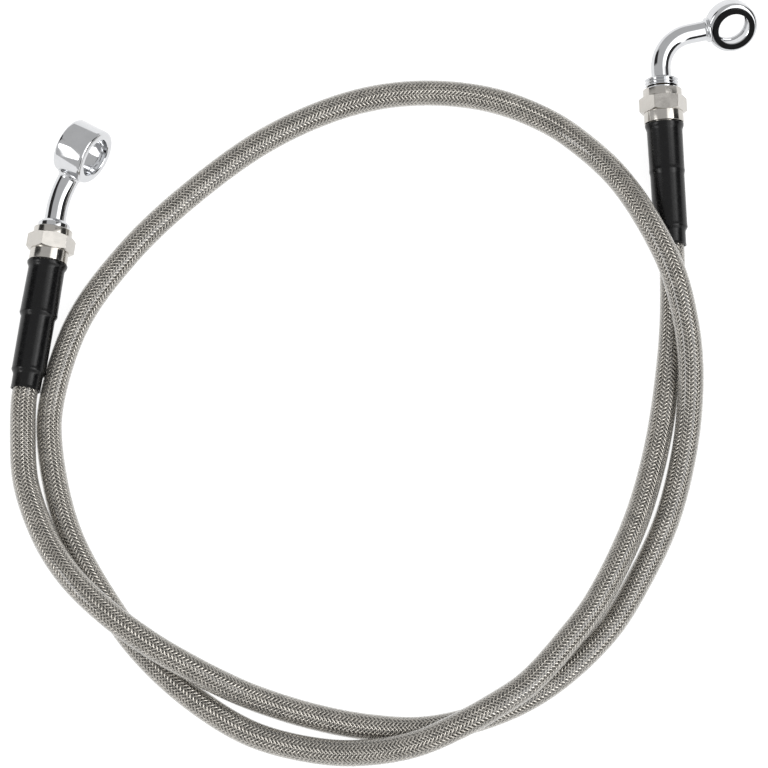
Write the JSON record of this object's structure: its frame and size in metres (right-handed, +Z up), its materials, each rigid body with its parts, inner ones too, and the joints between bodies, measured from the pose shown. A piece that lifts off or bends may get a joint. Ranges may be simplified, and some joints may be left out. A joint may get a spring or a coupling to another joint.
{
  "type": "braided clutch hose",
  "caption": "Stainless-braided hydraulic clutch hose in a clear jacket, laid in a loop, with a banjo fitting, nut and black sleeve at each end.",
  "frame": {"origin": "middle of the box round the two end fittings in X and Y, on the surface the hose lies on", "axes": "+X from the left fitting towards the right fitting, +Y from the coil towards the banjo eyes, +Z up from the surface"},
  "size_m": [0.2303, 0.24, 0.0211],
  "materials": {
    "bright_chrome": "mirror bright chrome plate",
    "plated_steel": "bright plated steel",
    "nickel_plate": "warm bright nickel plate",
    "olive_brass": "turned brass",
    "black_shrink_sleeve": "satin black shrink plastic",
    "black_seal": "smooth black sealing washer",
    "braid_under_clear_jacket": "woven stainless braid seen through a clear glossy plastic jacket"
  },
  "bodies": {
    "root": {"left_banjo_eye": "bright_chrome", "left_neck_tube": "bright_chrome", "left_threaded_nipple": "plated_steel", "left_olive": "olive_brass", "left_socket_nut": "nickel_plate", "left_inner_sleeve": "black_shrink_sleeve", "left_shrink_sleeve": "black_shrink_sleeve", "right_banjo_eye": "bright_chrome", "right_neck_tube": "bright_chrome", "right_threaded_nipple": "plated_steel", "right_olive": "olive_brass", "right_socket_nut": "nickel_plate", "right_inner_sleeve": "black_shrink_sleeve", "right_shrink_sleeve": "black_shrink_sleeve", "right_seal_washer": "black_seal", "hose": "braid_under_clear_jacket"}
  },
  "joints": []
}
